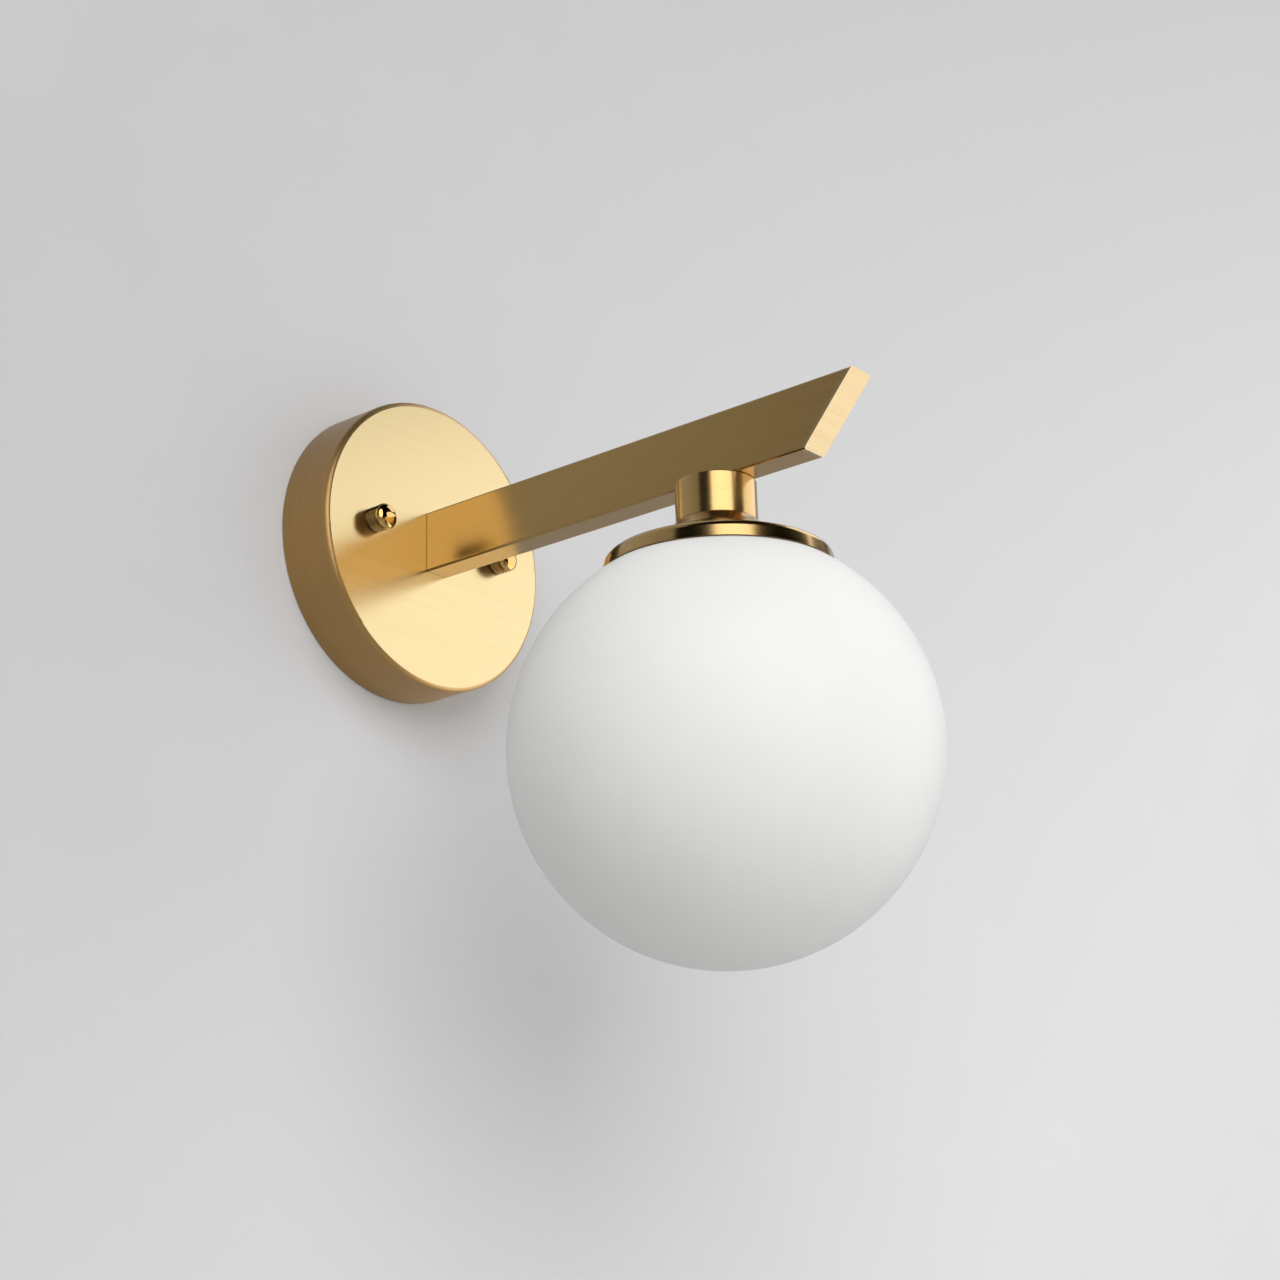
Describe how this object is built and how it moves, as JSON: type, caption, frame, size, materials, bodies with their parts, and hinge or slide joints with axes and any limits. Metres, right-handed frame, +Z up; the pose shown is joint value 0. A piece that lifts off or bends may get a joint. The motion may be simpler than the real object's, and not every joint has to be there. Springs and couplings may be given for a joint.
{
  "type": "globe wall sconce",
  "caption": "Wall light with a round wall plate, a flat mitred bar arm and an opal glass ball hung below it from a turned cup and spun dish.",
  "frame": {"origin": "middle of the wall bracket's screw slots, in the wall plane", "axes": "+Y into the wall, so the arm reaches along -Y; +Z up; X across the wall"},
  "size_m": [0.154, 0.244, 0.249],
  "materials": {
    "satin_brass": "satin brushed brass plating on steel, lacquered",
    "polished_brass": "polished brass",
    "zinc_steel": "bright zinc plated steel",
    "ring_aluminium": "turned aluminium",
    "opal_glass": "matt opal white glass, fired satin outside",
    "ceramic": "unglazed white ceramic",
    "white_plastic": "moulded white plastic",
    "frosted_cover": "frosted polycarbonate cover",
    "led_phosphor": "yellow phosphor coating",
    "clear_silicone": "milky silicone",
    "brown_wire": "brown insulation",
    "blue_wire": "blue insulation",
    "green_wire": "green and yellow insulation"
  },
  "bodies": {
    "root": {"wall_plate": "satin_brass", "arm_tube": "satin_brass", "arm_end_cap": "satin_brass", "socket_cup": "satin_brass", "globe_dish": "satin_brass", "terminal_barrels": "polished_brass", "earth_tag": "polished_brass", "wall_bracket": "zinc_steel", "plate_studs": "zinc_steel", "stud_lock_nuts": "zinc_steel", "arm_root_plug": "zinc_steel", "arm_screws": "zinc_steel", "arm_screw_washers": "zinc_steel", "drop_block": "zinc_steel", "drop_rod": "zinc_steel", "dish_washer": "zinc_steel", "rod_nut": "zinc_steel", "lampholder_yoke": "zinc_steel", "lampholder_screws": "zinc_steel", "terminal_screws": "zinc_steel", "block_screws": "zinc_steel", "earth_screw": "zinc_steel", "lampholder_contacts": "zinc_steel", "neck_ring": "ring_aluminium", "lampholder_body": "ceramic", "terminal_block": "white_plastic", "wire_bushing": "white_plastic", "live_wire": "brown_wire", "neutral_wire": "blue_wire", "earth_wire": "green_wire"},
    "left_nut": {"cap_nut_left": "polished_brass"},
    "right_nut": {"cap_nut_right": "polished_brass"},
    "gasket": {"neck_gasket": "clear_silicone"},
    "globe": {"glass_globe": "opal_glass"},
    "lamp": {"lamp_base": "white_plastic", "lamp_pins": "zinc_steel", "lamp_envelope": "frosted_cover", "led_core": "ceramic", "led_strips": "led_phosphor"}
  },
  "joints": [
    {"name": "left_nut_turn", "type": "hinge", "parent": "root", "child": "left_nut", "pos_m": [-0.0345, -0.025, 0.0015], "axis": [0, -1, 0], "range_deg": [0, 3600]},
    {"name": "right_nut_turn", "type": "hinge", "parent": "root", "child": "right_nut", "pos_m": [0.0345, -0.025, 0.0015], "axis": [0, -1, 0], "range_deg": [0, 3600]},
    {"name": "globe_turn", "type": "hinge", "parent": "root", "child": "gasket", "pos_m": [0, -0.167, -0.042], "axis": [0, 0, -1], "range_deg": [0, 540]},
    {"name": "globe_lower", "type": "slide", "parent": "gasket", "child": "globe", "axis": [0, 0, -1], "range_m": [0, 0.085]},
    {"name": "lamp_pull", "type": "slide", "parent": "root", "child": "lamp", "axis": [0, 0, -1], "range_m": [0, 0.015]}
  ]
}
